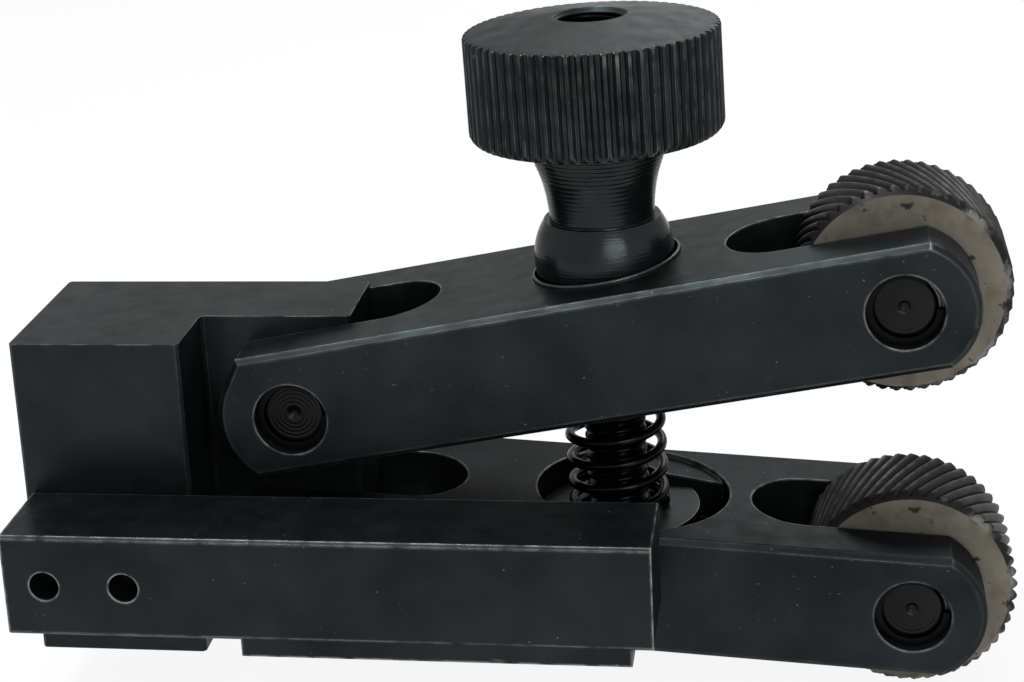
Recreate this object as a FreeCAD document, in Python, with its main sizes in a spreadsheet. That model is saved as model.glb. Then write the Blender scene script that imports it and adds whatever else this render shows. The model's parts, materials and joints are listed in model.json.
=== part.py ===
import FreeCAD, Part
import math
import os
import Sketcher

V = FreeCAD.Vector
doc = FreeCAD.newDocument("knurling_tool")

# Every size of the tool, in millimetres and degrees. X runs along the shank towards the wheels,
# Y runs away from the front face and Z is up. The origin is the middle of the shank's seat.
SIZES = {
    "shank_len": 60, "shank_deep": 10, "shank_tall": 10,
    "land_len": 36, "land_deep": 8.4, "land_tall": 2, "land_from_tail": 22,
    "head_len": 16.6, "head_deep": 18.4, "head_tall": 31.8, "head_overhang": 0.9, "head_rise": 15.1,
    "tongue_thick": 10.4, "tongue_reach": 14.8, "tongue_gap": 0.1,
    "fix_dia": 2.8, "fix_clear": 0.3, "fix_first": 3.9, "fix_step": 7.6, "fix_len": 18,
    "fix_head_dia": 5.5, "fix_head_tall": 3, "fix_head_gap": 0.15, "fix_sink": 7,
    "fix_key": 2.5, "fix_key_deep": 1.5,
    "pivot_from_head": 9.6, "pivot_spread": 14.7, "pivot_mid_rise": 0.1,
    "arm_tall": 12, "arm_wide": 21.6, "arm_reach": 57.9, "pivot_offset": 0.7,
    "arm_tail_round": 7.1, "arm_nose_round": 6.8, "tail_slope": 55,
    "tail_slot_len": 14.5, "nose_slot_len": 15.3,
    "upper_open": 10.1, "lower_open": 3.6, "edge_break": 0.3, "arm_break": 0.55, "overrun": 1,
    "pin_dia": 6, "pin_gap": 0.05, "pin_sink": 1.7, "pin_break": 0.3, "pin_shoulder": 0.5,
    "pin_dimple_dia": 1.4, "pin_dimple_deep": 0.5,
    "ring_thick": 0.6, "ring_wide": 0.7, "ring_open": 50, "ring_gap": 0.02,
    "wheel_dia": 20, "wheel_wide": 10, "wheel_gap": 0.3, "wheel_break": 0.75,
    "tooth_count": 48, "tooth_deep": 0.5, "tooth_slant": 30,
    "stud_dia": 6, "stud_gap": 0.05, "stud_lean": 1.5, "stud_reach": 30.1, "swivel_rise": 0.8,
    "stud_below": 4.8, "stud_top_sink": 2.4, "stud_break": 0.6,
    "stud_hole_room": 0.7, "stud_hole_ahead": 0.2,
    "stud_slot_room": 0.6, "stud_slot_run": 2, "stud_slot_back": 1.3,
    "nut_dia": 15.6, "nut_flat": 5.5, "nut_flat_turn": 14.6, "nut_sink": 1.8, "nut_tall": 1.3,
    "barrel_dia": 8.8, "barrel_len": 9, "barrel_gap": 0.05, "barrel_side_gap": 0.3,
    "pocket_room": 1.6, "pocket_ahead": 0.9, "pocket_shift": 0.3, "pocket_floor_room": 1.4,
    "pocket_wall_gap": 0.6, "shelf_deep": 0.5,
    "ball_rise": 1, "ball_dia": 13.4, "ball_gap": 0.3, "ball_cut": 3.1, "ball_tilt_room": 1.3,
    "cup_edge": 0.5, "cup_lip": 0.4,
    "knob_dia": 24, "knob_tall": 10, "knob_above_ball": 22, "knob_crown": 1.2, "knob_top_break": 0.25,
    "knob_low_break": 0.7, "knob_mouth_break": 0.5,
    "neck_top_dia": 14.5, "neck_low_dia": 10, "neck_low_rise": 3.8, "neck_curve": 16,
    "spring_wire": 0.95, "spring_room": 1, "spring_coils": 6.5, "spring_end_gap": 1.1,
    "spring_sides": 8, "spring_steps": 20,
    "spring_seat_room": 1, "spring_seat_deep": 2.4, "spring_seat_back": 2.1,
}

sheet = doc.addObject("Spreadsheet::Sheet", "Sizes")
for row, (alias, size) in enumerate(SIZES.items(), start=1):
    cell = "A%d" % row
    sheet.set(cell, str(size))
    sheet.setAlias(cell, alias)
doc.recompute()


def derive(alias, formula):
    """Add a size that follows from others, as a formula in the sheet."""
    cell = "B%d" % (len(DERIVED) + 1)
    sheet.set(cell, "=" + formula)
    sheet.setAlias(cell, alias)
    DERIVED.append(alias)
    doc.recompute()


DERIVED = []
derive("seat_x", "shank_len * 2 / 3")
derive("shank_base", "land_tall")
derive("shank_top", "land_tall + shank_tall")
derive("shank_front", "-shank_deep / 2")
derive("shank_tail", "-seat_x")
derive("head_left", "shank_tail - head_overhang")
derive("head_right", "head_left + head_len")
derive("head_front", "shank_deep / 2")
derive("head_back", "head_front + head_deep")
derive("head_top", "shank_top + head_rise")
derive("head_base", "head_top - head_tall")
derive("mid_y", "head_back - tongue_thick / 2")
derive("pivot_x", "head_right + pivot_from_head")
derive("pivot_mid", "head_base + head_tall / 2 + pivot_mid_rise")
derive("upper_pivot_z", "pivot_mid + pivot_spread / 2")
derive("lower_pivot_z", "pivot_mid - pivot_spread / 2")
# Heights in an arm's own frame, from its pivot: inner faces look at each other.
derive("outer_rise", "arm_tall / 2 + pivot_offset")
derive("inner_rise", "arm_tall / 2 - pivot_offset")
derive("swivel_z", "swivel_rise - pivot_offset")
# Holes, slots and seats take their size from what goes into them and a named room around it.
derive("tail_slot_wide", "tongue_thick + 2 * tongue_gap")
derive("nose_slot_wide", "wheel_wide + 2 * wheel_gap")
derive("cbore_dia", "pin_dia + 2 * pin_shoulder")
derive("stud_hole_dia", "stud_dia + 2 * stud_hole_room")
derive("stud_slot_wide", "stud_dia + 2 * stud_slot_room")
derive("nut_drop", "nut_sink + nut_tall")
derive("pocket_dia", "nut_dia + 2 * pocket_room")
derive("pocket_reach", "stud_reach + pocket_ahead")
derive("pocket_deep", "nut_drop + pocket_floor_room")
derive("pocket_wall", "nut_flat + pocket_wall_gap")
derive("cup_dia", "ball_dia + 2 * cup_edge")
derive("cup_sink", "ball_cut + ball_tilt_room - ball_rise")
derive("spring_dia", "stud_dia + 2 * (spring_room + spring_wire)")
derive("spring_seat_dia", "spring_dia + 2 * spring_seat_room")
derive("spring_top_drop", "ball_rise + arm_tall - spring_seat_deep + spring_end_gap")
derive("knob_mouth_dia", "stud_dia + 2 * knob_mouth_break")
derive("ball_z", "outer_rise + ball_rise")
# The swivel centre in the lower arm, then the ball centre where the leaning stud meets the upper arm.
derive("swivel_x_abs", "pivot_x + stud_reach * cos(lower_open * 1deg) + swivel_z * sin(lower_open * 1deg)")
derive("swivel_z_abs", "lower_pivot_z - stud_reach * sin(lower_open * 1deg)"
       " + swivel_z * cos(lower_open * 1deg)")
derive("ball_reach", "((swivel_x_abs - pivot_x) * cos(stud_lean * 1deg)"
       " - (upper_pivot_z - swivel_z_abs) * sin(stud_lean * 1deg)"
       " + ball_z * sin((upper_open - stud_lean) * 1deg)) / cos((upper_open - stud_lean) * 1deg)")
derive("stud_span", "(upper_pivot_z - swivel_z_abs) * cos(stud_lean * 1deg)"
       " + (swivel_x_abs - pivot_x) * sin(stud_lean * 1deg)"
       " + ball_reach * sin((upper_open - stud_lean) * 1deg)"
       " + ball_z * cos((upper_open - stud_lean) * 1deg)")


def num(formula):
    """Value of a sheet formula, used only to place sketch geometry before it is solved."""
    value = sheet.evalExpression(formula)
    return float(getattr(value, "Value", value))


def link(formula, names=tuple(SIZES) + tuple(DERIVED)):
    """Rewrite a formula of size names so that an object outside the sheet can use it."""
    out = []
    word = ""
    for char in formula + " ":
        if char.isalnum() or char == "_":
            word += char
            continue
        out.append("Sizes." + word if word in names else word)
        out.append(char)
        word = ""
    return "".join(out).strip()


def bind(obj, **formulas):
    for prop, formula in formulas.items():
        obj.setExpression(prop.replace("__", "."), link(formula))


def place(obj, x="0", y="0", z="0"):
    bind(obj, Placement__Base__x=x, Placement__Base__y=y, Placement__Base__z=z)


def body(name):
    made = doc.addObject("PartDesign::Body", name)
    made.Label = name
    return made


def plane(owner, role):
    return [f for f in owner.Origin.OriginFeatures if f.Role == role][0]


def sketch(owner, name, role, offset=None):
    made = owner.newObject("Sketcher::SketchObject", name)
    made.AttachmentSupport = [(plane(owner, role), "")]
    made.MapMode = "FlatFace"
    if offset:
        made.setExpression("AttachmentOffset.Base.z", link(offset))
    return made


def dim(sk, kind, refs, formula, tag):
    """Add a driving dimension bound to the sheet, or pin to an axis where the formula is 0."""
    if formula == "0" and kind in ("DistanceX", "DistanceY"):
        axis = -2 if kind == "DistanceX" else -1
        sk.addConstraint(Sketcher.Constraint("PointOnObject", refs[2], refs[3], axis))
        return
    index = sk.addConstraint(Sketcher.Constraint(kind, *refs, num(formula)))
    sk.renameConstraint(index, tag)
    sk.setExpression("Constraints." + tag, link(formula))


def hollow(start, stop, radius):
    """Arc from start to stop about a centre on the right of that way, drawn from its stop end."""
    middle = (start + stop) * 0.5
    run = stop - start
    across = V(run.y, -run.x, 0).normalize()
    centre = middle + across * math.sqrt(radius ** 2 - (run.Length / 2) ** 2)
    angles = [math.atan2(spot.y - centre.y, spot.x - centre.x) for spot in (stop, start)]
    if angles[1] < angles[0]:
        angles[1] += 2 * math.pi
    return Part.ArcOfCircle(Part.Circle(centre, V(0, 0, 1), radius), *angles)


def outline(sk, points, hollows={}):
    """Closed outline through points given as pairs of formulas, straight but for the hollow edges.

    Hollows maps the number of an edge to the formula of its radius."""
    spots = [V(num(x), num(y), 0) for x, y in points]
    count = len(spots)
    for i in range(count):
        ends = (spots[i], spots[(i + 1) % count])
        edge = hollow(*ends, num(hollows[i])) if i in hollows else Part.LineSegment(*ends)
        sk.addGeometry(edge, False)
    first = [2 if i in hollows else 1 for i in range(count)]
    for i in range(count):
        after = (i + 1) % count
        sk.addConstraint(Sketcher.Constraint("Coincident", i, 3 - first[i], after, first[after]))
    for i, (x, y) in enumerate(points):
        dim(sk, "DistanceX", (-1, 1, i, first[i]), x, "x%d" % i)
        dim(sk, "DistanceY", (-1, 1, i, first[i]), y, "y%d" % i)
    for i, radius in hollows.items():
        dim(sk, "Radius", (i,), radius, "hollow%d" % i)


def circle(sk, x, y, radius, tag):
    index = sk.addGeometry(Part.Circle(V(num(x), num(y), 0), V(0, 0, 1), num(radius)), False)
    dim(sk, "DistanceX", (-1, 1, index, 3), x, tag + "_x")
    dim(sk, "DistanceY", (-1, 1, index, 3), y, tag + "_y")
    dim(sk, "Radius", (index,), radius, tag + "_r")


def pad(owner, sk, name, length, both=False):
    made = owner.newObject("PartDesign::Pad", name)
    made.Profile = sk
    made.Length = num(length)
    bind(made, Length=length)
    made.Midplane = both
    return made


def pocket(owner, sk, name, length=None, both=False, back=False):
    made = owner.newObject("PartDesign::Pocket", name)
    made.Profile = sk
    made.Midplane = both
    made.Reversed = back
    if length is None:
        made.Type = "ThroughAll"
    else:
        made.Length = num(length)
        bind(made, Length=length)
    return made


def spin(owner, sk, name):
    """Revolve a sketch drawn on the XZ plane about the body's Z axis."""
    made = owner.newObject("PartDesign::Revolution", name)
    made.Profile = sk
    made.ReferenceAxis = (sk, ["V_Axis"])
    made.Angle = 360
    return made


def bore(owner, name, radius, length, x="0", y="0", z="0", axis=None):
    """Cut a round hole that starts at x, y, z and runs along +Z, or along +Y where axis is Y."""
    made = owner.newObject("PartDesign::SubtractiveCylinder", name)
    if axis == "Y":
        made.Placement = FreeCAD.Placement(V(), FreeCAD.Rotation(V(1, 0, 0), -90))
    bind(made, Radius=radius, Height=length)
    place(made, x, y, z)
    return made


def break_edges(owner, name, size, wanted):
    """Chamfer the edges of the body's tip that a test picks out."""
    doc.recompute()
    tip = owner.Tip
    picked = [f"Edge{i}" for i, e in enumerate(tip.Shape.Edges, start=1) if wanted(e)]
    made = owner.newObject("PartDesign::Chamfer", name)
    made.Base = (tip, picked)
    bind(made, Size=size)
    return made


def straight(edge, axis):
    """True for a straight edge that runs along one of the axes."""
    if not isinstance(edge.Curve, (Part.Line, Part.LineSegment)):
        return False
    run = edge.Vertexes[-1].Point - edge.Vertexes[0].Point
    return abs(run[axis]) > 0.999 * run.Length


# --- Shank bar: a square bar with a raised seat under it and two tapped holes at its tail.
def make_shank_bar():
    bar = body("shank_bar")
    side = sketch(bar, "bar_side", "XZ_Plane")
    outline(side, [("shank_tail", "shank_base"), ("shank_tail + shank_len", "shank_base"),
                   ("shank_tail + shank_len", "shank_top"), ("shank_tail", "shank_top")])
    pad(bar, side, "bar", "shank_deep", both=True)
    seat = sketch(bar, "land_side", "XZ_Plane")
    outline(seat, [("shank_tail + land_from_tail", "0"), ("shank_tail + land_from_tail + land_len", "0"),
                   ("shank_tail + land_from_tail + land_len", "land_tall"),
                   ("shank_tail + land_from_tail", "land_tall")])
    pad(bar, seat, "land", "land_deep", both=True)
    for i in range(2):
        bore(bar, "tapped_hole_%d" % i, "fix_dia / 2", "shank_deep",
             x="shank_tail + fix_first + %d * fix_step" % i, y="shank_front",
             z="shank_base + shank_tall / 2", axis="Y")
    longest = num("shank_len") * 0.9
    break_edges(bar, "bar_edges", "edge_break", lambda e: straight(e, 0) and e.Length > longest)


# --- Head block: a thick block with a tongue flush with its back, bored for the two pivots.
def make_head_block():
    head = body("head_block")
    plan = sketch(head, "head_plan", "XY_Plane", offset="head_base")
    outline(plan, [("head_left", "head_front"), ("head_right", "head_front"),
                   ("head_right", "head_back - tongue_thick"),
                   ("head_right + tongue_reach", "head_back - tongue_thick"),
                   ("head_right + tongue_reach", "head_back"), ("head_left", "head_back")])
    pad(head, plan, "block", "head_tall")
    for tag in ("upper", "lower"):
        bore(head, tag + "_pivot_bore", "pin_dia / 2 + pin_gap", "tongue_thick + 2 * overrun",
             x="pivot_x", y="head_back - tongue_thick - overrun", z=tag + "_pivot_z", axis="Y")
    for i in range(2):
        spot = {"x": "shank_tail + fix_first + %d * fix_step" % i, "z": "shank_base + shank_tall / 2"}
        bore(head, "fix_clear_%d" % i, "fix_dia / 2 + fix_clear", "head_deep", y="head_front",
             axis="Y", **spot)
        bore(head, "fix_cbore_%d" % i, "fix_head_dia / 2 + fix_head_gap", "fix_sink + overrun",
             y="head_back - fix_sink", axis="Y", **spot)
    tallest = num("head_tall") * 0.9
    break_edges(head, "head_edges", "edge_break", lambda e: straight(e, 2) and e.Length > tallest)


# --- Shank screws: two cap screws from behind, threaded part drawn at its root diameter.
def make_shank_screws():
    made = []
    for i in range(2):
        screw = doc.addObject("Part::Cylinder", "screw_body_%d" % i)
        cap = doc.addObject("Part::Cylinder", "screw_cap_%d" % i)
        key = doc.addObject("Part::Prism", "screw_key_%d" % i)
        bind(screw, Radius="fix_dia / 2", Height="fix_len + fix_head_tall / 2")
        bind(cap, Radius="fix_head_dia / 2", Height="fix_head_tall")
        key.Polygon = 6
        bind(key, Circumradius="fix_key / 2 / cos(30deg)", Height="fix_key_deep + overrun")
        starts = {screw: "head_back - fix_sink - fix_len", cap: "head_back - fix_sink",
                  key: "head_back - fix_sink + fix_head_tall - fix_key_deep"}
        spot = {"x": "shank_tail + fix_first + %d * fix_step" % i, "z": "shank_base + shank_tall / 2"}
        for piece, start in starts.items():
            piece.Placement = FreeCAD.Placement(V(), FreeCAD.Rotation(V(1, 0, 0), -90))
            place(piece, y=start, **spot)
        solid = doc.addObject("Part::MultiFuse", "screw_solid_%d" % i)
        solid.Shapes = [screw, cap]
        cut = doc.addObject("Part::Cut", "screw_cut_%d" % i)
        cut.Base = solid
        cut.Tool = key
        made.append(cut)
    group = doc.addObject("Part::Compound", "shank_screws")
    group.Links = made


# --- Arms: side outline padded across, forked at both ends, with pin holes through the cheeks.
def arm_side(sk, sign):
    """Side outline about the pivot: sloped relief, straight bar, rounded tail and nose."""
    tail = num("arm_tail_round")
    nose = num("arm_nose_round")
    high = num("outer_rise")
    low = num("inner_rise")
    slope = math.radians(num("tail_slope"))
    touch = math.pi / 2 + slope
    under = math.pi + math.asin(low / tail)
    lean = math.asin(num("arm_tall") / 2 / nose)
    hub = V(num("arm_reach"), sign * num("pivot_offset"), 0)
    end_x = hub.x + nose * math.cos(lean)
    low_x = -math.sqrt(tail ** 2 - low ** 2)
    relief = V(tail * math.cos(touch), sign * tail * math.sin(touch), 0)
    corner = V(relief.x + (high - tail * math.sin(touch)) / math.tan(slope), sign * high, 0)
    arcs = [(hub, nose, -lean, lean), (V(), tail, touch, under)]
    if sign < 0:
        arcs = [(c, r, -b, -a) for c, r, a, b in arcs]
    made = [Part.LineSegment(corner, V(end_x, sign * high, 0)),
            Part.LineSegment(V(end_x, -sign * low, 0), V(low_x, -sign * low, 0)),
            Part.LineSegment(relief, corner)]
    made += [Part.ArcOfCircle(Part.Circle(c, V(0, 0, 1), r), a, b) for c, r, a, b in arcs]
    sk.addGeometry(made, False)
    first, last = (1, 2) if sign > 0 else (2, 1)
    for refs in ((0, 2, 3, last), (1, 1, 3, first), (1, 2, 4, last), (0, 1, 2, 2), (4, 3, -1, 1)):
        sk.addConstraint(Sketcher.Constraint("Coincident", *refs))
    sk.addConstraint(Sketcher.Constraint("Tangent", 4, first, 2, 1))
    sk.addConstraint(Sketcher.Constraint("Horizontal", 0))
    sk.addConstraint(Sketcher.Constraint("Horizontal", 1))
    dim(sk, "DistanceX", (-1, 1, 3, 3), "arm_reach", "reach")
    dim(sk, "DistanceY", (-1, 1, 3, 3), "%d * pivot_offset" % sign, "axle_rise")
    dim(sk, "DistanceY", (-1, 1, 0, 1), "%d * outer_rise" % sign, "outer")
    dim(sk, "DistanceY", (-1, 1, 1, 1), "%d * inner_rise" % -sign, "inner")
    dim(sk, "Radius", (3,), "arm_nose_round", "nose")
    dim(sk, "Radius", (4,), "arm_tail_round", "tail")
    slant = sk.addConstraint(Sketcher.Constraint("Angle", 2, sign * slope))
    sk.renameConstraint(slant, "slope")
    sk.setExpression("Constraints.slope", link("%d * tail_slope * 1deg" % sign))


def open_slot(owner, name, end, mouth, wide):
    """Slot with a round closed end, open at the arm's tail (mouth -1) or nose (mouth 1)."""
    sk = sketch(owner, name + "_plan", "XY_Plane")
    half = num(wide + " / 2")
    x = num(end) + mouth * half
    past = "arm_reach + arm_nose_round + overrun" if mouth > 0 else "-(arm_tail_round + overrun)"
    out = num(past)
    pts = [V(x, half, 0), V(out, half, 0), V(out, -half, 0), V(x, -half, 0)]
    sk.addGeometry([Part.LineSegment(pts[i], pts[i + 1]) for i in range(3)], False)
    spread = (math.pi / 2, 3 * math.pi / 2) if mouth > 0 else (-math.pi / 2, math.pi / 2)
    sk.addGeometry(Part.ArcOfCircle(Part.Circle(V(x, 0, 0), V(0, 0, 1), half), *spread), False)
    upper, lower = (1, 2) if mouth > 0 else (2, 1)
    for refs in ((0, 2, 1, 1), (1, 2, 2, 1)):
        sk.addConstraint(Sketcher.Constraint("Coincident", *refs))
    for refs in ((0, 1, 3, upper), (2, 2, 3, lower)):
        sk.addConstraint(Sketcher.Constraint("Tangent", *refs))
    sk.addConstraint(Sketcher.Constraint("Horizontal", 0))
    sk.addConstraint(Sketcher.Constraint("Vertical", 1))
    sk.addConstraint(Sketcher.Constraint("PointOnObject", 3, 3, -1))
    dim(sk, "DistanceX", (-1, 1, 3, 3), "%s + %d * %s / 2" % (end, mouth, wide), "round_x")
    dim(sk, "DistanceX", (-1, 1, 0, 2), past, "mouth_x")
    dim(sk, "Radius", (3,), wide + " / 2", "half_wide")
    pocket(owner, sk, name, both=True)


def round_a_side(edge, out):
    """True for an edge that lies in one of the two outer side faces."""
    spots = [edge.valueAt(edge.FirstParameter), edge.valueAt(edge.LastParameter)]
    return all(abs(abs(spot.y) - out) < 1e-4 for spot in spots) and spots[0].y * spots[1].y > 0


def make_arm(name, sign):
    arm = body(name)
    side = sketch(arm, name + "_side", "XZ_Plane")
    arm_side(side, sign)
    pad(arm, side, name + "_bar", "arm_wide", both=True)
    break_edges(arm, name + "_edges", "arm_break", lambda e: round_a_side(e, num("arm_wide") / 2))
    open_slot(arm, name + "_tail_slot", "tail_slot_len", -1, "tail_slot_wide")
    open_slot(arm, name + "_nose_slot", "arm_reach - nose_slot_len", 1, "nose_slot_wide")
    axle = "%d * pivot_offset" % sign
    for tag, x, z in (("pivot", "0", "0"), ("axle", "arm_reach", axle)):
        bore(arm, "%s_%s_hole" % (name, tag), "pin_dia / 2", "arm_wide", x, "-arm_wide / 2", z, "Y")
        bore(arm, "%s_%s_near" % (name, tag), "cbore_dia / 2", "pin_sink + overrun", x,
             "-arm_wide / 2 - overrun", z, "Y")
        bore(arm, "%s_%s_far" % (name, tag), "cbore_dia / 2", "pin_sink + overrun", x,
             "arm_wide / 2 - pin_sink", z, "Y")
    return arm


def seat_arm(arm, tag, formula):
    arm.Placement = FreeCAD.Placement(V(), FreeCAD.Rotation(V(0, 1, 0), 1))
    bind(arm, Placement__Rotation__Angle="%s * 1deg" % formula)
    place(arm, "pivot_x", "mid_y", tag + "_pivot_z")


def make_upper_arm():
    arm = make_arm("upper_arm", 1)
    bore(arm, "cup_seat", "cup_dia / 2", "cup_sink + overrun", x="ball_reach",
         z="outer_rise - cup_sink")
    slot = sketch(arm, "stud_slot_plan", "XY_Plane")
    half = "stud_slot_wide / 2"
    mid = "ball_reach - stud_slot_back"
    outline(slot, [(mid + " - stud_slot_run / 2", "-" + half), (mid + " + stud_slot_run / 2", "-" + half),
                   (mid + " + stud_slot_run / 2", half), (mid + " - stud_slot_run / 2", half)])
    pocket(arm, slot, "stud_slot", both=True)
    for tag, end in (("back", "- stud_slot_run / 2"), ("front", "+ stud_slot_run / 2")):
        bore(arm, "stud_slot_" + tag, half, "arm_tall + 2 * overrun", x="%s %s" % (mid, end),
             z="-inner_rise - overrun")
    bore(arm, "spring_seat", "spring_seat_dia / 2", "spring_seat_deep + overrun",
         x="ball_reach - spring_seat_back", z="-inner_rise - overrun")
    seat_arm(arm, "upper", "-upper_open")


def make_lower_arm():
    arm = make_arm("lower_arm", -1)
    turn_deg = "nut_flat_turn * 1deg"
    shelf = sketch(arm, "shelf_plan", "XY_Plane", offset="inner_rise - shelf_deep")
    circle(shelf, "pocket_reach", "pocket_shift", "pocket_dia / 2", "rim")
    pocket(arm, shelf, "shelf", "shelf_deep + overrun", back=True)
    deep = sketch(arm, "pocket_plan", "XY_Plane", offset="inner_rise - pocket_deep")
    radius = num("pocket_dia / 2")
    centre = V(num("pocket_reach"), num("pocket_shift"), 0)
    across = math.radians(num("nut_flat_turn"))
    normal = V(math.sin(across), math.cos(across), 0)
    wall = V(num("stud_reach"), 0, 0) + normal * num("pocket_wall")
    off = (wall - centre).dot(normal)
    half = math.sqrt(radius ** 2 - off ** 2)
    along = V(normal.y, -normal.x, 0)
    foot = centre + normal * off
    right = foot + along * half
    left = foot - along * half
    start = math.atan2(left.y - centre.y, left.x - centre.x)
    stop = math.atan2(right.y - centre.y, right.x - centre.x)
    rim = Part.Circle(centre, V(0, 0, 1), radius)
    deep.addGeometry([Part.LineSegment(right, left),
                      Part.ArcOfCircle(rim, start, stop + 2 * math.pi)], False)
    mark = deep.addGeometry(Part.LineSegment(V(num("stud_reach"), 0, 0), wall), True)
    for refs in ((0, 2, 1, 1), (0, 1, 1, 2)):
        deep.addConstraint(Sketcher.Constraint("Coincident", *refs))
    deep.addConstraint(Sketcher.Constraint("PointOnObject", mark, 1, -1))
    deep.addConstraint(Sketcher.Constraint("PointOnObject", mark, 2, 0))
    deep.addConstraint(Sketcher.Constraint("Perpendicular", mark, 0))
    dim(deep, "DistanceX", (-1, 1, 1, 3), "pocket_reach", "rim_x")
    dim(deep, "DistanceY", (-1, 1, 1, 3), "pocket_shift", "rim_y")
    dim(deep, "Radius", (1,), "pocket_dia / 2", "rim_r")
    dim(deep, "DistanceX", (-1, 1, mark, 1), "stud_reach", "stud_x")
    dim(deep, "Distance", (mark,), "pocket_wall", "wall_off")
    tilt = deep.addConstraint(Sketcher.Constraint("Angle", mark, math.pi / 2 - across))
    deep.renameConstraint(tilt, "wall_turn")
    deep.setExpression("Constraints.wall_turn", link("90deg - " + turn_deg))
    pocket(arm, deep, "nut_pocket", "pocket_deep + overrun", back=True)
    bore(arm, "barrel_trough", "barrel_dia / 2 + barrel_gap", "barrel_len + 2 * barrel_side_gap",
         x="stud_reach", y="-barrel_len / 2 - barrel_side_gap", z="swivel_z", axis="Y")
    bore(arm, "stud_hole", "stud_hole_dia / 2", "outer_rise + swivel_z + overrun",
         x="stud_reach + stud_hole_ahead", z="-outer_rise - overrun")
    seat_arm(arm, "lower", "lower_open")


# --- Plain pins with broken ends, and their round-wire snap rings in the counterbores.
def make_pin(name, x, z):
    pin = body(name)
    side = sketch(pin, name + "_side", "XZ_Plane")
    half = "arm_wide / 2 - pin_sink"
    outline(side, [("0", "-(%s) + pin_dimple_deep" % half), ("pin_dimple_dia / 2", "-(%s)" % half),
                   ("pin_dia / 2 - pin_break", "-(%s)" % half), ("pin_dia / 2", "-(%s) + pin_break" % half),
                   ("pin_dia / 2", "%s - pin_break" % half), ("pin_dia / 2 - pin_break", half),
                   ("pin_dimple_dia / 2", half), ("0", "%s - pin_dimple_deep" % half)])
    spin(pin, side, name + "_round")
    pin.Placement = FreeCAD.Placement(V(), FreeCAD.Rotation(V(1, 0, 0), -90))
    place(pin, x, "mid_y", z)


def in_world(tag, along, rise):
    """Formulas for a point given in an arm's own frame."""
    angle = "(upper_open * 1deg)" if tag == "upper" else "(-lower_open * 1deg)"
    x = "pivot_x + (%s) * cos(%s) - (%s) * sin(%s)" % (along, angle, rise, angle)
    z = "%s_pivot_z + (%s) * sin(%s) + (%s) * cos(%s)" % (tag, along, angle, rise, angle)
    return x, z


def make_rings(name, x, z):
    """Two split snap rings, one in each counterbore, holding the pin's ends."""
    made = []
    for side, start in (("near", "-arm_wide / 2 + pin_sink - ring_gap - ring_thick"),
                        ("far", "arm_wide / 2 - pin_sink + ring_gap")):
        outer = doc.addObject("Part::Cylinder", "%s_%s_outer" % (name, side))
        inner = doc.addObject("Part::Cylinder", "%s_%s_inner" % (name, side))
        bind(outer, Radius="cbore_dia / 2", Height="ring_thick", Angle="(360 - ring_open) * 1deg")
        bind(inner, Radius="cbore_dia / 2 - ring_wide", Height="ring_thick")
        for piece in (outer, inner):
            piece.Placement = FreeCAD.Placement(V(), FreeCAD.Rotation(V(1, 0, 0), -90))
            place(piece, x, "mid_y " + start if start[0] == "-" else "mid_y + " + start, z)
        ring = doc.addObject("Part::Cut", "%s_%s" % (name, side))
        ring.Base = outer
        ring.Tool = inner
        made.append(ring)
    group = doc.addObject("Part::Compound", name)
    group.Links = made
    group.Label = name


def make_pins():
    for tag, sign in (("upper", 1), ("lower", -1)):
        for spot, along, rise in (("pivot", "0", "0"), ("axle", "arm_reach", "%d * pivot_offset" % sign)):
            x, z = in_world(tag, along, rise)
            make_pin("%s_%s_pin" % (tag, spot), x, z)
            make_rings("%s_%s_rings" % (tag, spot), x, z)


def skin(name, rings):
    """Solid through rings of points, in flat facets, where a sweep or a loft meshes too finely."""
    faces = [Part.Face(Part.makePolygon(list(ring) + [ring[0]])) for ring in (rings[0], rings[-1])]
    count = len(rings[0])
    for low, high in zip(rings, rings[1:]):
        for i in range(count):
            j = (i + 1) % count
            faces.append(Part.Face(Part.makePolygon([low[i], low[j], high[j], low[i]])))
            faces.append(Part.Face(Part.makePolygon([low[i], high[j], high[i], low[i]])))
    solid = Part.makeSolid(Part.makeShell(faces))
    solid.fix(1e-6, 1e-6, 1e-6)
    made = doc.addObject("Part::Feature", name)
    made.Shape = solid if solid.Volume > 0 else solid.reversed()
    return made


# --- Knurl wheels: blanks with slanted pointed teeth, opposite hands top and bottom.
def make_wheel(tag, hand):
    name = tag + "_knurl_wheel"
    tip = num("wheel_dia / 2")
    root = tip - num("tooth_deep")
    edge = tip - num("wheel_break")
    half = num("wheel_wide / 2")
    count = int(num("tooth_count"))
    levels = [(-half, edge, edge), (-half + root - edge, root, root), (-half + tip - edge, tip, root)]
    levels += [(-z, high, low) for z, high, low in reversed(levels)]
    middle = half - tip + edge
    levels[3:3] = [(middle * k / 3, tip, root) for k in (-1, 1)]
    rings = []
    for z, high, low in levels:
        twist = hand * z * math.tan(math.radians(num("tooth_slant"))) / tip
        ring = []
        for k in range(2 * count):
            angle = math.pi * k / count + twist
            reach = low if k % 2 else high
            ring.append(V(reach * math.cos(angle), reach * math.sin(angle), z))
        rings.append(ring)
    blank = skin(name + "_teeth", rings)
    hole = doc.addObject("Part::Cylinder", name + "_bore")
    bind(hole, Radius="pin_dia / 2 + pin_gap", Height="wheel_wide + 2 * overrun")
    place(hole, z="-wheel_wide / 2 - overrun")
    wheel = doc.addObject("Part::Cut", name)
    wheel.Base = blank
    wheel.Tool = hole
    wheel.Placement = FreeCAD.Placement(V(), FreeCAD.Rotation(V(1, 0, 0), -90))
    x, z = in_world(tag, "arm_reach", "pivot_offset" if tag == "upper" else "-pivot_offset")
    place(wheel, x, "mid_y", z)


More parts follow.
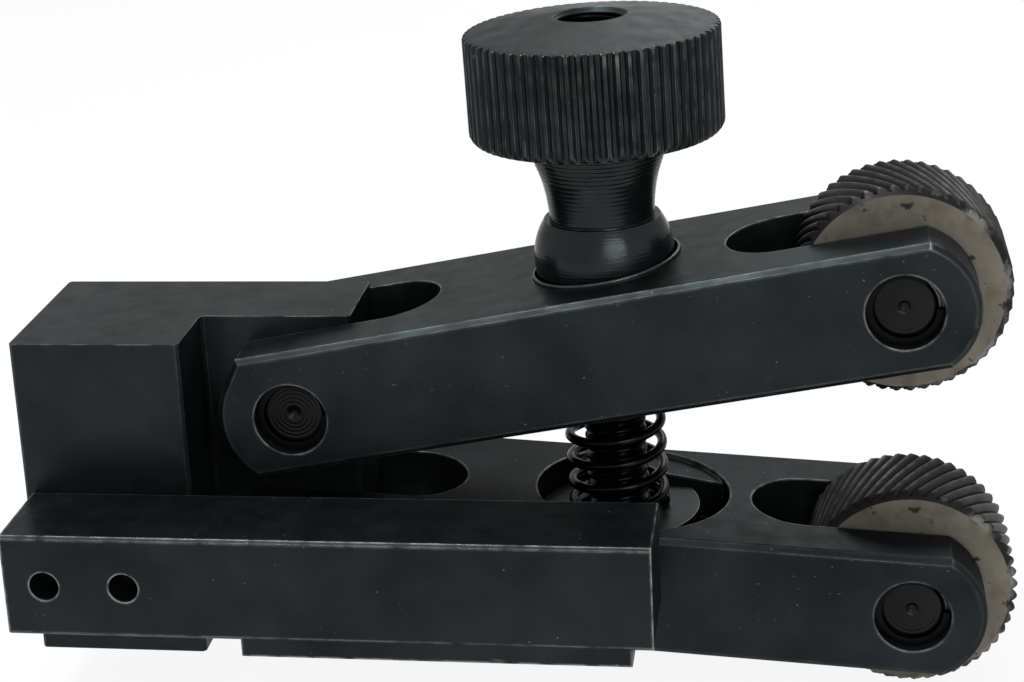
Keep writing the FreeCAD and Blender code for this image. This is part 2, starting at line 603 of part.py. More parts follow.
# --- Clamping gear, each piece drawn upright on the stud's axis from the swivel centre.
def lean(obj):
    obj.Placement = FreeCAD.Placement(V(), FreeCAD.Rotation(V(0, 1, 0), 1))
    bind(obj, Placement__Rotation__Angle="-stud_lean * 1deg")
    place(obj, "swivel_x_abs", "mid_y", "swivel_z_abs")


def turned(name, points):
    """A piece turned about its own Z axis from a closed half section."""
    made = body(name)
    half = sketch(made, name + "_section", "XZ_Plane")
    outline(half, points)
    spin(made, half, name + "_round")
    return made


def make_stud():
    top = "stud_span + knob_above_ball - stud_top_sink"
    stud = turned("clamp_stud", [
        ("0", "-stud_below"), ("stud_dia / 2 - stud_break", "-stud_below"),
        ("stud_dia / 2", "stud_break - stud_below"), ("stud_dia / 2", top + " - stud_break"),
        ("stud_dia / 2 - stud_break", top), ("0", top)])
    lean(stud)


def make_nut():
    nut = body("swivel_nut")
    disc = sketch(nut, "nut_disc", "XY_Plane", offset="inner_rise - swivel_z - nut_drop")
    radius = num("nut_dia / 2")
    across = math.radians(num("nut_flat_turn"))
    half = math.acos(num("nut_flat") / radius)
    mid = math.pi / 2 - across
    ends = [V(radius * math.cos(mid + k * half), radius * math.sin(mid + k * half), 0) for k in (-1, 1)]
    rim = Part.Circle(V(), V(0, 0, 1), radius)
    disc.addGeometry([Part.LineSegment(ends[0], ends[1]),
                      Part.ArcOfCircle(rim, mid + half, mid - half + 2 * math.pi)], False)
    mark = disc.addGeometry(Part.LineSegment(V(), (ends[0] + ends[1]) * 0.5), True)
    for refs in ((0, 2, 1, 1), (0, 1, 1, 2), (1, 3, -1, 1), (mark, 1, -1, 1)):
        disc.addConstraint(Sketcher.Constraint("Coincident", *refs))
    disc.addConstraint(Sketcher.Constraint("PointOnObject", mark, 2, 0))
    disc.addConstraint(Sketcher.Constraint("Perpendicular", mark, 0))
    dim(disc, "Radius", (1,), "nut_dia / 2", "disc_r")
    dim(disc, "Distance", (mark,), "nut_flat", "flat_off")
    tilt = disc.addConstraint(Sketcher.Constraint("Angle", mark, mid))
    disc.renameConstraint(tilt, "flat_turn")
    disc.setExpression("Constraints.flat_turn", link("90deg - nut_flat_turn * 1deg"))
    pad(nut, disc, "nut_plate", "nut_tall")
    barrel = nut.newObject("PartDesign::AdditiveCylinder", "nut_barrel")
    barrel.Placement = FreeCAD.Placement(V(), FreeCAD.Rotation(V(1, 0, 0), -90))
    bind(barrel, Radius="barrel_dia / 2", Height="barrel_len")
    place(barrel, y="-barrel_len / 2")
    bore(nut, "nut_face", "nut_dia / 2 + overrun", "barrel_dia", z="inner_rise - swivel_z - nut_sink")
    bore(nut, "nut_thread", "stud_dia / 2 + stud_gap", "barrel_dia + nut_dia", z="-barrel_dia")
    lean(nut)


def make_knob():
    knob = body("clamp_knob")
    low = "stud_span - ball_cut"
    waist = "stud_span + neck_low_rise"
    under = "stud_span + knob_above_ball - knob_tall"
    top = "stud_span + knob_above_ball"
    mouth = top + " + knob_crown"
    hole = "stud_dia / 2 + stud_gap"
    half = sketch(knob, "knob_section", "XZ_Plane")
    outline(half, [(hole, waist), ("neck_low_dia / 2", waist), ("neck_top_dia / 2", under),
                   ("knob_dia / 2 - knob_low_break", under), ("knob_dia / 2", under + " + knob_low_break"),
                   ("knob_dia / 2", top + " - knob_top_break"), ("knob_dia / 2 - knob_top_break", top),
                   ("knob_mouth_dia / 2", mouth),
                   (hole, mouth + " - (knob_mouth_dia / 2 - (%s))" % hole)], {1: "neck_curve"})
    spin(knob, half, "knob_round")
    ball = knob.newObject("PartDesign::AdditiveSphere", "knob_ball")
    bind(ball, Radius="ball_dia / 2", Angle1="-asin(ball_cut / (ball_dia / 2))",
         Angle2="asin((neck_low_rise + overrun / 3) / (ball_dia / 2))")
    place(ball, z="stud_span")
    bore(knob, "knob_thread", hole, "ball_cut + neck_low_rise + 2 * overrun", z=low + " - overrun")
    lean(knob)


def make_cup():
    cup = doc.addObject("Part::Cylinder", "cup_blank")
    bowl = doc.addObject("Part::Sphere", "cup_bowl")
    bind(cup, Radius="cup_dia / 2", Height="cup_lip + cup_sink")
    bind(bowl, Radius="ball_dia / 2 + ball_gap")
    place(cup, z="-cup_sink - ball_rise")
    washer = doc.addObject("Part::Cut", "cup_washer")
    washer.Base = cup
    washer.Tool = bowl
    washer.Placement = FreeCAD.Placement(V(), FreeCAD.Rotation(V(0, 1, 0), 1))
    bind(washer, Placement__Rotation__Angle="-upper_open * 1deg")
    x, z = in_world("upper", "ball_reach", "ball_z")
    place(washer, x, "mid_y", z)


def make_spring():
    start = num("inner_rise - swivel_z - nut_sink")
    stop = num("stud_span - spring_top_drop")
    wire = num("spring_wire") / 2
    mean = num("spring_dia") / 2 - wire
    coils = num("spring_coils")
    sides = int(num("spring_sides"))
    closed = 0.75
    closed_pitch = 1.8 * wire
    open_turns = coils - 2 * closed
    open_rise = stop - start - 2 * wire - 2 * num("ring_gap") - 2 * closed * closed_pitch
    steps = int(coils * num("spring_steps"))
    rings = []
    for k in range(steps + 1):
        turns = coils * k / steps
        opened = min(max(turns - closed, 0), open_turns) / open_turns
        shut = min(turns, closed) + max(turns - coils + closed, 0)
        z = start + wire + num("ring_gap") + shut * closed_pitch + opened * open_rise
        out = V(math.cos(2 * math.pi * turns), math.sin(2 * math.pi * turns), 0)
        centre = out * mean + V(0, 0, z)
        spots = [math.pi * (2 * i + 1) / sides for i in range(sides)]
        rings.append([centre + (out * math.cos(a) + V(0, 0, 1) * math.sin(a)) * wire for a in spots])
    spring = skin("clamp_spring", rings)
    lean(spring)


make_shank_bar()
make_head_block()
make_shank_screws()
make_upper_arm()
make_lower_arm()
make_pins()
make_wheel("upper", 1)
make_wheel("lower", -1)
make_stud()
make_nut()
make_knob()
make_cup()
make_spring()
doc.recompute()

NODES = ["head_block", "shank_bar", "shank_screws", "upper_arm", "lower_arm",
         "upper_pivot_pin", "lower_pivot_pin", "upper_axle_pin", "lower_axle_pin",
         "upper_pivot_rings", "lower_pivot_rings", "upper_axle_rings", "lower_axle_rings",
         "upper_knurl_wheel", "lower_knurl_wheel", "cup_washer", "clamp_knob", "clamp_stud",
         "swivel_nut", "clamp_spring"]
for item in doc.Objects:
    faults = [state for state in item.State if state in ("Invalid", "Error")]
    if faults:
        raise RuntimeError("%s is %s" % (item.Name, faults))
os.makedirs("parts", exist_ok=True)
for node in NODES:
    item = doc.getObject(node)
    item.Label = node
    if item.Shape.isNull() or not item.Shape.isValid():
        raise RuntimeError("%s has no valid shape" % node)
    item.Shape.exportStep("parts/%s.step" % node)
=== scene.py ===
import json
import math
import bmesh
import bpy
from mathutils import Matrix, Vector


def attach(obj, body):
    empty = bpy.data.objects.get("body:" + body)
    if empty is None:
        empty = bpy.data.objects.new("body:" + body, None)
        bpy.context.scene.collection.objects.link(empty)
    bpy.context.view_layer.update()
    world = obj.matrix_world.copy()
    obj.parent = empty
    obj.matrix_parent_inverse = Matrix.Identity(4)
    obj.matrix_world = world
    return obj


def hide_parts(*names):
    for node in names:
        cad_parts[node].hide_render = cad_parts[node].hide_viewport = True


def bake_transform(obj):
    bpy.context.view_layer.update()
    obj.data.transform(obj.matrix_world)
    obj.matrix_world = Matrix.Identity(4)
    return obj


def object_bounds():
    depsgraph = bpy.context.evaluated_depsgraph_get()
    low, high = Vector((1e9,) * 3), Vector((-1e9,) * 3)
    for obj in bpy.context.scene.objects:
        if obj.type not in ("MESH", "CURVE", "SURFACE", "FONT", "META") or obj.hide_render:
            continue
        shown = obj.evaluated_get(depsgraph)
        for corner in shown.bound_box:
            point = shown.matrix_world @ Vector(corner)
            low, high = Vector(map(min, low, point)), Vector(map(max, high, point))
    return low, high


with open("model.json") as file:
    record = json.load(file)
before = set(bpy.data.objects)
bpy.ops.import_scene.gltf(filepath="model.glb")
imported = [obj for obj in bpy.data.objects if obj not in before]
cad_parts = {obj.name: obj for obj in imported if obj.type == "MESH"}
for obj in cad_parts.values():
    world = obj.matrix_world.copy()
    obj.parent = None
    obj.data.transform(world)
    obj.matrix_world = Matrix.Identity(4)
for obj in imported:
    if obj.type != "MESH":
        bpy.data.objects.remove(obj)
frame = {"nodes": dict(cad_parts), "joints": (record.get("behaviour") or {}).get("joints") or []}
cad_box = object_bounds()


# --- Camera: a little above the tool and to its right, looking slightly down at the front faces.
# The lens shift places the tool in the frame without turning the view.
camera = bpy.data.objects.new("camera", bpy.data.cameras.new("camera"))
bpy.context.scene.collection.objects.link(camera)
bpy.context.scene.camera = camera
aim = Matrix.Rotation(0.1755, 4, "Z") @ Matrix.Rotation(math.pi / 2 - 0.2863, 4, "X")
spot = Matrix.Translation((0.03372, -0.17782, 0.09567))
camera.matrix_world = spot @ aim @ Matrix.Rotation(-0.0571, 4, "Z")
camera.data.lens = 76.14
camera.data.shift_x = 0.0703
camera.data.shift_y = -0.1377
camera.data.clip_start = 0.01


# --- Studio: a pale floor under the tool, a white surround and three soft lamps.
# White to the camera and in reflections, and of a plain level where it lights the tool.
def lamp(name, at, to, size, power):
    light = bpy.data.lights.new(name, "AREA")
    light.shape = "DISK"
    light.size = size
    light.energy = power
    made = bpy.data.objects.new(name, light)
    bpy.context.scene.collection.objects.link(made)
    made.location = at
    made.rotation_euler = (Vector(to) - Vector(at)).to_track_quat("-Z", "Y").to_euler()


def where_seen(tree, seen_shader, lit_shader, target):
    """Use one shader for camera, glossy and transmission rays and the other for the rest."""
    path = tree.nodes.new("ShaderNodeLightPath")
    share = path.outputs["Is Camera Ray"]
    for ray in ("Is Glossy Ray", "Is Transmission Ray"):
        more = tree.nodes.new("ShaderNodeMath")
        more.operation = "MAXIMUM"
        tree.links.new(share, more.inputs[0])
        tree.links.new(path.outputs[ray], more.inputs[1])
        share = more.outputs[0]
    mix = tree.nodes.new("ShaderNodeMixShader")
    tree.links.new(share, mix.inputs[0])
    tree.links.new(lit_shader.outputs[0], mix.inputs[1])
    tree.links.new(seen_shader.outputs[0], mix.inputs[2])
    tree.links.new(mix.outputs[0], target)


world = bpy.data.worlds.new("surround")
bpy.context.scene.world = world
world.use_nodes = True
sky = world.node_tree
sky.nodes.clear()
white = sky.nodes.new("ShaderNodeBackground")
soft = sky.nodes.new("ShaderNodeBackground")
soft.inputs["Color"].default_value = (0.93, 0.97, 1, 1)
soft.inputs["Strength"].default_value = 0.4
where_seen(sky, white, soft, sky.nodes.new("ShaderNodeOutputWorld").inputs["Surface"])

low, high = cad_box
centre = (Vector(low) + Vector(high)) / 2
lamp("key", centre + Vector((-0.12, -0.05, 0.42)), centre, 0.2, 1.5)
lamp("front", centre + Vector((0.2, -0.42, 0.2)), centre, 0.3, 1.0)
lamp("back", centre + Vector((0.1, 0.4, 0.3)), centre, 0.3, 0.85)

bpy.ops.mesh.primitive_plane_add(size=4, location=(centre.x, centre.y, low[2] - 0.0002))
floor = bpy.context.object
floor.name = "floor"
ground = bpy.data.materials.new("pale_floor")
ground.use_nodes = True
tree = ground.node_tree
tree.nodes.clear()
matt = tree.nodes.new("ShaderNodeBsdfDiffuse")
matt.inputs["Color"].default_value = (0.88, 0.88, 0.88, 1)
glow = tree.nodes.new("ShaderNodeEmission")
part = tree.nodes.new("ShaderNodeMixShader")
part.inputs[0].default_value = 0.9
tree.links.new(matt.outputs[0], part.inputs[1])
tree.links.new(glow.outputs[0], part.inputs[2])
where_seen(tree, part, matt, tree.nodes.new("ShaderNodeOutputMaterial").inputs["Surface"])
floor.data.materials.append(ground)
bpy.context.scene.view_settings.view_transform = "Standard"


# --- Steel: one recipe for every piece, a clouded oxide with rubbed edges, specks and scratches.
# Turned pieces give it their axis, for fine rings and a sheen that runs round.
class Steel:
    def __init__(self, name, colour, worn, rough, metal=0.75, axis=None):
        self.material = bpy.data.materials.new(name)
        self.material.use_nodes = True
        self.tree = self.material.node_tree
        self.shader = self.tree.nodes["Principled BSDF"]
        self.shader.inputs["Metallic"].default_value = metal
        self.shader.inputs["Specular Tint"].default_value = (0.6, 0.6, 0.6, 1)
        self.shader.inputs["Specular IOR Level"].default_value = 0.3
        place = self.node("TexCoord").outputs["Object"]
        self.place = place
        if axis:
            spread = self.node("Mapping")
            spread.vector_type = "TEXTURE"
            spread.inputs["Location"].default_value = axis.translation
            spread.inputs["Rotation"].default_value = axis.to_euler()
            self.link(place, spread.inputs["Vector"])
            self.place = spread.outputs[0]
            flat = self.node("VectorMath", operation="MULTIPLY")
            flat.inputs[1].default_value = (1, 1, 0)
            self.link(self.place, flat.inputs[0])
            length = self.node("VectorMath", operation="LENGTH")
            self.link(flat.outputs[0], length.inputs[0])
            self.radius = length.outputs["Value"]
        dark = [0.7 * c for c in colour] + [1]
        light = [1.3 * c for c in colour] + [1]
        self.base = self.mix(dark, light, self.noise(130, 5, 0.3, 0.7))
        self.worn = list(worn) + [1]
        self.rough = rough

    def node(self, kind, **settings):
        made = self.tree.nodes.new("ShaderNode" + kind)
        for key, value in settings.items():
            setattr(made, key, value)
        return made

    def link(self, source, target):
        if isinstance(source, bpy.types.NodeSocket):
            self.tree.links.new(source, target)
        else:
            target.default_value = source

    def ramp(self, value, low, high, start=0.0, stop=1.0):
        made = self.node("MapRange")
        for key, number in (("From Min", low), ("From Max", high), ("To Min", start), ("To Max", stop)):
            made.inputs[key].default_value = number
        self.link(value, made.inputs["Value"])
        return made.outputs[0]

    def noise(self, scale, detail, low, high, stretch=(1, 1, 1)):
        spread = self.node("Mapping")
        spread.inputs["Scale"].default_value = stretch
        self.link(self.place, spread.inputs["Vector"])
        grit = self.node("TexNoise")
        grit.inputs["Scale"].default_value = scale
        grit.inputs["Detail"].default_value = detail
        self.link(spread.outputs[0], grit.inputs["Vector"])
        return self.ramp(grit.outputs[0], low, high)

    def math(self, kind, a, b):
        made = self.node("Math", operation=kind)
        self.link(a, made.inputs[0])
        self.link(b, made.inputs[1])
        return made.outputs[0]

    def mix(self, a, b, share):
        made = self.node("Mix", data_type="RGBA")
        self.link(share, made.inputs[0])
        self.link(a, made.inputs[6])
        self.link(b, made.inputs[7])
        return made.outputs[2]

    def rub_edges(self, amount, width, patchy=(0.4, 0.6)):
        """Bright wear where the surface turns a corner."""
        bevel = self.node("Bevel", samples=6)
        bevel.inputs["Radius"].default_value = width
        facing = self.node("NewGeometry")
        dot = self.node("VectorMath", operation="DOT_PRODUCT")
        self.link(bevel.outputs[0], dot.inputs[0])
        self.link(facing.outputs["True Normal"], dot.inputs[1])
        rim = self.ramp(dot.outputs["Value"], 0.99, 0.9)
        share = self.math("MULTIPLY", self.math("MULTIPLY", rim, self.noise(600, 5, *patchy)), amount)
        self.base = self.mix(self.base, self.worn, share)

    def scratch(self, amount):
        """Sparse specks and short scratches through the oxide."""
        specks = self.noise(2400, 2, 0.73, 0.79)
        long_ones = self.noise(900, 3, 0.735, 0.80, (0.08, 1, 0.5))
        slanted = self.noise(800, 3, 0.745, 0.81, (1, 1, 0.07))
        share = self.math("MAXIMUM", specks, self.math("MAXIMUM", long_ones, slanted))
        self.base = self.mix(self.base, self.worn, self.math("MULTIPLY", share, amount))

    def rings(self, pitch, strength, sheen=0.5):
        """Fine turned rings about the axis, and a sheen that runs round it."""
        wave = self.node("Math", operation="SINE")
        self.link(self.math("MULTIPLY", self.radius, 2 * math.pi / pitch), wave.inputs[0])
        bump = self.node("Bump")
        bump.inputs["Strength"].default_value = strength
        bump.inputs["Distance"].default_value = 0.00002
        self.link(wave.outputs[0], bump.inputs["Height"])
        self.link(bump.outputs[0], self.shader.inputs["Normal"])
        self.shader.inputs["Anisotropic"].default_value = sheen
        around = self.node("Tangent", direction_type="RADIAL", axis="Z")
        self.link(around.outputs[0], self.shader.inputs["Tangent"])

    def done(self, grain=1500, stretch=(0.3, 1, 1), height=0.3):
        self.link(self.base, self.shader.inputs["Base Color"])
        shine = self.ramp(self.noise(450, 4, 0.3, 0.7), 0, 1, self.rough - 0.06, self.rough + 0.1)
        self.link(shine, self.shader.inputs["Roughness"])
        if not self.shader.inputs["Normal"].is_linked:
            bump = self.node("Bump")
            bump.inputs["Strength"].default_value = height
            bump.inputs["Distance"].default_value = 0.00003
            self.link(self.noise(grain, 4, 0.2, 0.8, stretch), bump.inputs["Height"])
            self.link(bump.outputs[0], self.shader.inputs["Normal"])
        return self.material


def oxide(name, wear=0.8, width=0.00025, patchy=(0.4, 0.6), scratches=0.45, rough=0.34, axis=None,
          worn=0.175):
    """The black oxide of most pieces; worn is how bright its rubbed places are."""
    made = Steel(name, (0.0158, 0.0194, 0.0208), (worn, 1.03 * worn, worn), rough, axis=axis)
    made.rub_edges(wear, width, patchy)
    made.scratch(scratches)
    return made


def dress(node, material, width=0.0):
    """Give a CAD node its material, with its sharp corners softened where width isn't 0."""
    obj = frame["nodes"][node]
    obj.data.materials.clear()
    obj.data.materials.append(material)
    if width:
        weld = obj.modifiers.new("weld", "WELD")
        weld.merge_threshold = 1e-6
        flat = obj.modifiers.new("flat", "DECIMATE")
        flat.decimate_type = "DISSOLVE"
        flat.angle_limit = math.radians(0.5)
        corner = obj.modifiers.new("corner", "BEVEL")
        corner.width = width
        corner.segments = 2
        corner.limit_method = "ANGLE"
        corner.angle_limit = math.radians(30)
        even = obj.modifiers.new("even", "WEIGHTED_NORMAL")
        even.weight = 100
    return obj


# --- Shank bar: black oxide bar with a bright rubbed top edge, screwed to the head from behind.
# The land under it is part of it.
shank_steel = oxide("shank_oxide", 1.0, 0.0004, (0.34, 0.58), 0.6, worn=0.36)
dress("shank_bar", shank_steel.done(), 0.00015)


# --- Head block: black oxide block with a thinner tongue, bored for the two pivot pins.
# The shank is screwed to it from behind, and the arms straddle its tongue.
head_steel = oxide("head_oxide", 0.7, 0.00025)
dress("head_block", head_steel.done(stretch=(1, 1, 0.3)), 0.00012)


# --- Shank screws: two black cap screws sunk in the head's back.
# They hold the shank to the head, in the shank's two tapped holes.
screw_steel = oxide("screw_oxide", 0.6, 0.0002, rough=0.3)
dress("shank_screws", screw_steel.done(), 0.0001)


# --- Arms: black oxide bars with broken edges, forked at both ends.
# They hinge on the head's tongue and carry the wheels at their noses. The lower one is a shaded copy of the
# same oxide, its weaker specular tint a painted shade that dims its shine.
for tag, tint in (("upper", 0.55), ("lower", 0.3)):
    arm_steel = oxide(tag + "_arm_oxide", 0.9, 0.0004, (0.3, 0.6), 0.5, worn=0.26)
    # Painted shade: the lower arm's copy gets a weaker specular tint than the upper arm's.
    arm_steel.shader.inputs["Specular Tint"].default_value = (tint, tint, tint, 1)
    dress(tag + "_arm", arm_steel.done(), 0.00012)


# --- Pins: ground steel, darkened, with turned ends. Each runs from cheek to cheek of an arm,
# the pivot pins through the tongue and the axle pins through the wheels.
joints = {j["name"]: j for j in frame["joints"]}


def frame_at(joint, axis):
    """Matrix at a joint's point with Z along an axis."""
    turned = Vector(axis).to_track_quat("Z", "X").to_matrix().to_4x4()
    return Matrix.Translation(joints[joint]["pos_m"]) @ turned


for tag in ("upper", "lower"):
    for spot_name, joint in (("pivot", tag + "_arm_swing"), ("axle", tag + "_wheel_spin")):
        pin = Steel("%s_%s_end" % (tag, spot_name), (0.012, 0.0125, 0.013), (0.1, 0.1, 0.1), 0.3,
                    axis=frame_at(joint, (0, 1, 0)))
        pin.rings(0.0004, 0.5, 0.3)
        pin.scratch(0.4)
        dress("%s_%s_pin" % (tag, spot_name), pin.done(), 0.00006)


# --- Snap rings: dark spring steel wire in the counterbores of the arms' cheeks.
# There is one at each end of each pin, to hold it in.
ring_steel = Steel("ring_steel", (0.004, 0.004, 0.0045), (0.06, 0.06, 0.06), 0.35)
ring_black = ring_steel.done()
for node in frame["nodes"]:
    if node.endswith("_rings"):
        dress(node, ring_black, 0.00006)


# --- Knurl wheels: hardened steel, slanted pointed teeth of opposite hands, ground and stained sides.
# Each turns on its axle pin between the cheeks of its arm.
def new_piece(name, rows, matrix, materials, body, node, smooth=30, marks=None, ends=()):
    """Mesh through rings of points, riding on a body in place of a CAD node where one is given.

    Every ring has the same number of points. marks gives the material of the faces after a ring,
    and ends lists the rings to cap with one face. Corners over smooth degrees stay sharp."""
    mesh = bpy.data.meshes.new(name)
    shape = bmesh.new()
    grid = [[shape.verts.new(matrix @ Vector(p)) for p in row] for row in rows]
    count = len(grid[0])
    for i, (row, after) in enumerate(zip(grid, grid[1:])):
        for k in range(count):
            beside = (k + 1) % count
            face = shape.faces.new((row[k], row[beside], after[beside], after[k]))
            face.smooth = True
            face.material_index = marks(i) if marks else 0
    for index in ends:
        shape.faces.new(grid[index])
    bmesh.ops.recalc_face_normals(shape, faces=shape.faces)
    for edge in shape.edges:
        if len(edge.link_faces) == 2 and edge.calc_face_angle(0) > math.radians(smooth):
            edge.smooth = False
    shape.to_mesh(mesh)
    shape.free()
    for material in materials:
        mesh.materials.append(material)
    made = bpy.data.objects.new(name, mesh)
    bpy.context.scene.collection.objects.link(made)
    if body:
        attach(made, body)
        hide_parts(node)
    return made


def ring(radius, z, steps, reach=None, turn=0.0):
    """One turn of points at a height, with the radius shaped by reach(share of a turn)."""
    points = []
    for k in range(steps):
        share = k / steps
        r = reach(share, z) if reach else radius
        angle = 2 * math.pi * share + turn
        points.append((r * math.cos(angle), r * math.sin(angle), z))
    return points


def wheel_rows(hand):
    """Rings from the bore's front edge round the back side and the rim, to the front side again."""
    teeth = 48
    tip, root, half, face = 0.010, 0.0095, 0.005, 0.00925
    heights = (0, 0.5, 0.86, 1, 0.86, 0.5)

    def reach(share, z):
        rise = heights[int(round(share * teeth * len(heights))) % len(heights)]
        return min(root + rise * (tip - root), face + half - abs(z))

    steps = teeth * len(heights)
    levels = [-0.005, -0.00475, -0.0045, -0.00425] + [0.0005 * k for k in range(-8, 9)]
    levels += [0.00425, 0.0045, 0.00475, 0.005]
    slant = hand * math.tan(math.radians(30)) / tip
    bore = 0.00305
    rows = [ring(bore, half, steps), ring(bore, -half, steps), ring(bore + 0.0003, -half, steps)]
    rows += [ring(r, -half, steps) for r in (0.005, 0.007, 0.0085)]
    rows += [ring(0, z, steps, reach, slant * z) for z in levels]
    rows += [ring(r, half, steps) for r in (0.0085, 0.007, 0.005, bore + 0.0003)]
    rows.append(rows[0])
    return rows


def wheel_steel(name, axis, teeth):
    """Dark teeth with crests lightened as bare wear and painted glint, and painted glints on the tooth
    ends; or the pale ground side with brown and black stains.
    """
    colour = (0.017, 0.0175, 0.017) if teeth else (0.142, 0.13, 0.107)
    made = Steel(name, colour, (0.42, 0.41, 0.38), 0.42, 0.8 if teeth else 0.45, axis=axis)
    if teeth:
        # Crests near the tip radius are lightened in patches: partly bare worn steel, partly a painted
        # glint.
        crest_wear_and_glint = made.math("MULTIPLY", made.ramp(made.radius, 0.00982, 0.01), made.noise(900, 4, 0.35, 0.7))
        made.base = made.mix(made.base, made.worn, made.math("MULTIPLY", crest_wear_and_glint, 0.16))
        # Painted glints: the toothed rim is lightened in patches near each face, on the teeth's chamfered
        # ends.
        split = made.node("SeparateXYZ")
        made.link(made.place, split.inputs[0])
        away = made.node("Math", operation="ABSOLUTE")
        made.link(split.outputs["Z"], away.inputs[0])
        near_end = made.ramp(away.outputs[0], 0.00425, 0.0046)
        end = made.math("MULTIPLY", near_end, made.noise(260, 3, 0.5, 0.62))
        made.base = made.mix(made.base, made.worn, made.math("MULTIPLY", end, 0.4))
    else:
        stain = made.noise(420, 6, 0.47, 0.68)
        made.base = made.mix(made.base, (0.055, 0.04, 0.028, 1), made.math("MULTIPLY", stain, 0.55))
        spots = made.noise(700, 3, 0.64, 0.70)
        made.base = made.mix(made.base, (0.012, 0.011, 0.01, 1), made.math("MULTIPLY", spots, 0.9))
    return made.done(900, (1, 1, 1), 0.25)


# The dark steel is on the bore, after the first two rings, and on the toothed rim.
dark_rings = {0, 1, *range(6, 30)}
for tag, hand in (("upper", -1), ("lower", 1)):
    axis = frame_at(tag + "_wheel_spin", (0, -1, 0))
    skins = [wheel_steel(tag + "_wheel_teeth", axis, True), wheel_steel(tag + "_wheel_side", axis, False)]
    wheel = new_piece(tag + "_wheel", wheel_rows(hand), axis, skins, tag + "_wheel", tag + "_knurl_wheel",
                      25, lambda i: 0 if i in dark_rings else 1)


# --- Clamp stud: black threaded screw, 1 mm pitch, from the swivel nut up into the knob.
# The knob turns on it, and it slides through the nut as the arms close.
up = Vector(joints["screw_travel"]["axis"]) * -1
swivel_frame = frame_at("nut_tilt", up)
ball_frame = frame_at("knob_turn", up)
ball_rise = (Vector(joints["knob_turn"]["pos_m"]) - Vector(joints["nut_tilt"]["pos_m"])).length


def thread_row(z, low, high, steps, start, stop):
    """Points round one level of a right-handed thread that fades out at start and stop."""
    pitch, run_out = 0.001, 0.0006
    fade = min(1, max(0, (z - start) / run_out), max(0, (stop - z) / run_out))
    points = []
    for k in range(steps):
        phase = (z / pitch - k / steps) % 1
        r = low + (high - low) * max(0, min(1, 1.6 * (1 - abs(2 * phase - 1)) - 0.2)) * fade
        angle = 2 * math.pi * k / steps
        points.append((r * math.cos(angle), r * math.sin(angle), z))
    return points


# Heights of the knob's rim above the ball's centre, of its crown above that and of the stud's end.
knob_top, knob_crown, stud_sink = 0.0220, 0.0012, 0.0024
stud_low, stud_top = -0.0048, ball_rise + knob_top - stud_sink
levels = int((stud_top - stud_low) / 0.000125)
heights = [stud_low + (stud_top - stud_low) * k / levels for k in range(levels + 1)]
rows = [thread_row(z, 0.00245, 0.003, 40, stud_low, stud_top) for z in heights]
stud_steel = Steel("stud_oxide", (0.006, 0.006, 0.0065), (0.12, 0.12, 0.12), 0.28, axis=swivel_frame)
stud = new_piece("threaded_stud", rows, swivel_frame, [stud_steel.done()], "screw", "clamp_stud", 40,
                 ends=(0, -1))


# --- Swivel nut: darkened disc with a flat, and the barrel under it.
# It rocks in the lower arm's pocket, whose flat wall keeps it from turning.
nut_steel = oxide("nut_oxide", 0.9, 0.0002, (0.3, 0.5), 0.3, 0.3)
dress("swivel_nut", nut_steel.done(), 0.0001)


# --- Clamp knob: one turned steel piece, a straight-knurled head with a crowned top, a hollow-sided
# neck and the ball under it, screwed on the stud.
knob_under, bore = 0.0120, 0.00305


def knob_head_rows():
    """Rings from the underside, round the knurled rim and over the crowned top into the mouth."""
    rim, depth, ridges = 0.012, 0.0005, 66
    dips = (1, 0.95, 0.45, 0.05, 0, 0.05, 0.45, 0.95)
    steps = ridges * len(dips)

    def reach(limit):
        def at(share, z):
            return min(limit, rim - depth * dips[int(round(share * steps)) % len(dips)])
        return at

    low, top = knob_under, knob_top
    rows = [ring(r, low, steps) for r in (0.0072, 0.0108)]
    for limit, z in ((0.0113, low), (0.0116, low + 0.0001), (0.01183, low + 0.00035), (rim, low + 0.0007),
                     (rim, (low + top) / 2), (rim, top - 0.00025), (0.0119, top - 0.00008),
                     (0.01175, top)):
        rows.append(ring(0, z, steps, reach(limit)))
    for r in (0.0112, 0.0108, 0.008, 0.0055, 0.0037, 0.0035):
        rows.append(ring(r, top + knob_crown * (0.01175 - r) / 0.00825, steps))
    rows.append(ring(bore, top + knob_crown - 0.00045, steps))
    return rows


def knob_neck_rows():
    """Section from the head's underside down the hollow neck and round the ball to the bore."""
    thin, waist, curve, ball, cut = 0.005, 0.0038, 0.016, 0.0067, -0.0031
    points = [(0.0072, knob_under)]
    z = knob_under - 0.0002
    while z > waist + 0.0003:
        r = thin + curve - math.sqrt(curve ** 2 - (z - waist) ** 2)
        groove = 0.00002 if z < 0.0085 else 0.000008
        points += [(r, z), (r, z - 0.0002), (r - groove, z - 0.0003)]
        z -= 0.00045
    points.append((thin, waist))
    low = math.asin(cut / ball)
    high = math.asin(waist / ball)
    for k in range(25):
        a = high + (low - high) * k / 24
        points.append((ball * math.cos(a), ball * math.sin(a)))
    points += [(0.0045, cut), (bore, cut), (bore, 0.0)]
    return [ring(r, z, 120) for r, z in points]


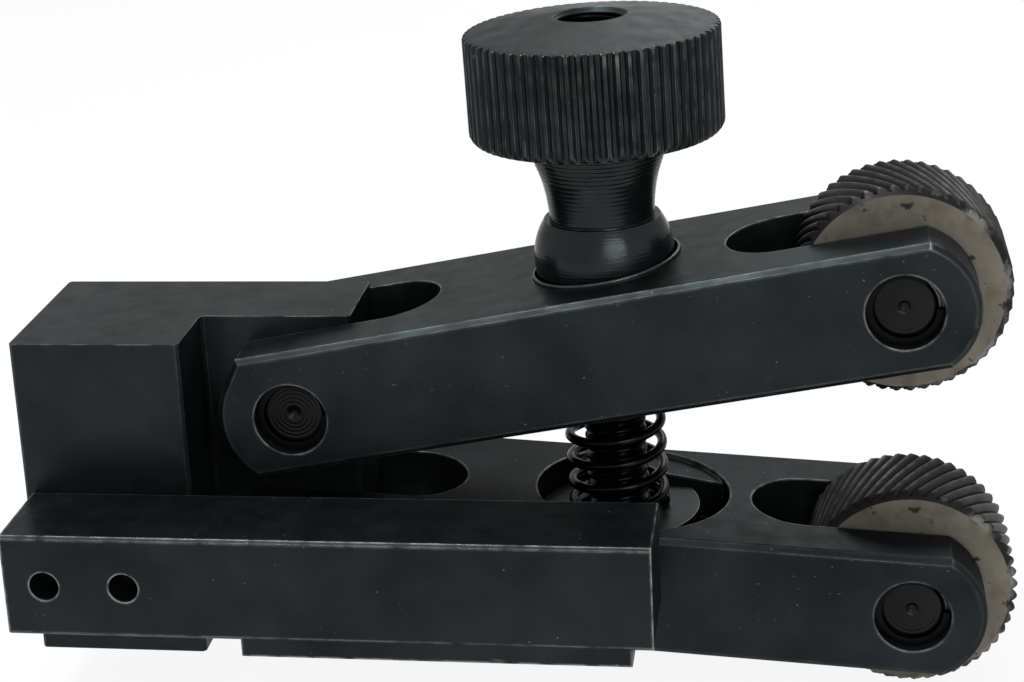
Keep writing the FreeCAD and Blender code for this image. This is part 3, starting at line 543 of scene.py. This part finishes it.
knob_steel = oxide("knob_oxide", 0.8, 0.00015, (0.4, 0.6), 0.5, 0.38, ball_frame)
knob_steel.rings(0.00022, 0.35, 0.55)
knob_black = knob_steel.done()
neck_steel = oxide("neck_oxide", 0.4, 0.00015, (0.42, 0.6), 0.4, 0.19, ball_frame)
neck_steel.shader.inputs["Specular IOR Level"].default_value = 0.7
neck_black = neck_steel.done(1600, (0.15, 0.15, 3), 0.6)
head = new_piece("knob_head", knob_head_rows(), ball_frame, [knob_black], "knob", "clamp_knob")
neck = new_piece("knob_neck", knob_neck_rows(), ball_frame, [neck_black], "knob", "clamp_knob", 40)
mouth_top = knob_top + knob_crown - 0.0005
rows = [thread_row(mouth_top - 0.0001 * k, bore, 0.0033, 60, mouth_top - 0.0049, mouth_top)
        for k in range(49)]
mouth = new_piece("knob_thread", rows, ball_frame, [stud_steel.material], "knob", "clamp_knob", 50)


# --- Cup washer: black oxide seat of the knob's ball.
# It is let into the upper arm, with its lip standing proud.
upper_open = math.radians(10.1)
cup_frame = frame_at("knob_turn", (-math.sin(upper_open), 0, math.cos(upper_open)))
outside, lip, foot, bowl = 0.0072, -0.0006, -0.0044, 0.007
section = [(outside, foot), (outside, lip - 0.00015)]
for a in (0.5, 1.0, 1.57):
    section.append((outside - 0.0001 * (1 - math.cos(a)), lip - 0.00015 * (1 - math.sin(a))))
for k in range(13):
    z = lip + (foot - lip) * k / 12
    section.append((math.sqrt(bowl ** 2 - z ** 2), z))
section.append(section[0])
cup_steel = oxide("cup_oxide", 1.0, 0.0003, (0.25, 0.45), 0.5, 0.3, cup_frame)
cup = new_piece("cup_seat", [ring(r, z, 120) for r, z in section], cup_frame, [cup_steel.done()],
                "upper_jaw", "cup_washer", 35)


# --- Clamp spring: blacked round wire, closed at both ends, round the stud.
# It stands between the nut and the upper arm. The real one shortens as the screw travels, but this mesh is
# built once at rest and rides on no body.
def spring_rows(low, high):
    """Rings round the wire, along coils that are close together at both ends."""
    coils, wire, mean, closed, sides = 6.5, 0.000475, 0.004475, 0.75, 14
    shut = 1.9 * wire
    rise = high - low - 2 * wire - 2 * closed * shut
    steps = int(coils * 48)
    rise_way = Vector((0, 0, 1))
    rows = []
    for k in range(steps + 1):
        turns = coils * k / steps
        opened = min(max(turns - closed, 0), coils - 2 * closed) / (coils - 2 * closed)
        pressed = min(turns, closed) + max(turns - coils + closed, 0)
        z = low + wire + pressed * shut + opened * rise
        out = Vector((math.cos(2 * math.pi * turns), math.sin(2 * math.pi * turns), 0))
        middle = out * mean + Vector((0, 0, z))
        angles = [2 * math.pi * i / sides for i in range(sides)]
        rows.append([middle + (out * math.cos(a) + rise_way * math.sin(a)) * wire for a in angles])
    return rows


spring_low, spring_high = 0.00342, ball_rise - 0.0117
spring_steel = Steel("spring_oxide", (0.006, 0.006, 0.0065), (0.3, 0.3, 0.3), 0.16, axis=swivel_frame)
spring = new_piece("coil_spring", spring_rows(spring_low, spring_high), swivel_frame, [spring_steel.done()],
                   None, None, 60, ends=(0, -1))
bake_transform(spring)
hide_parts("clamp_spring")
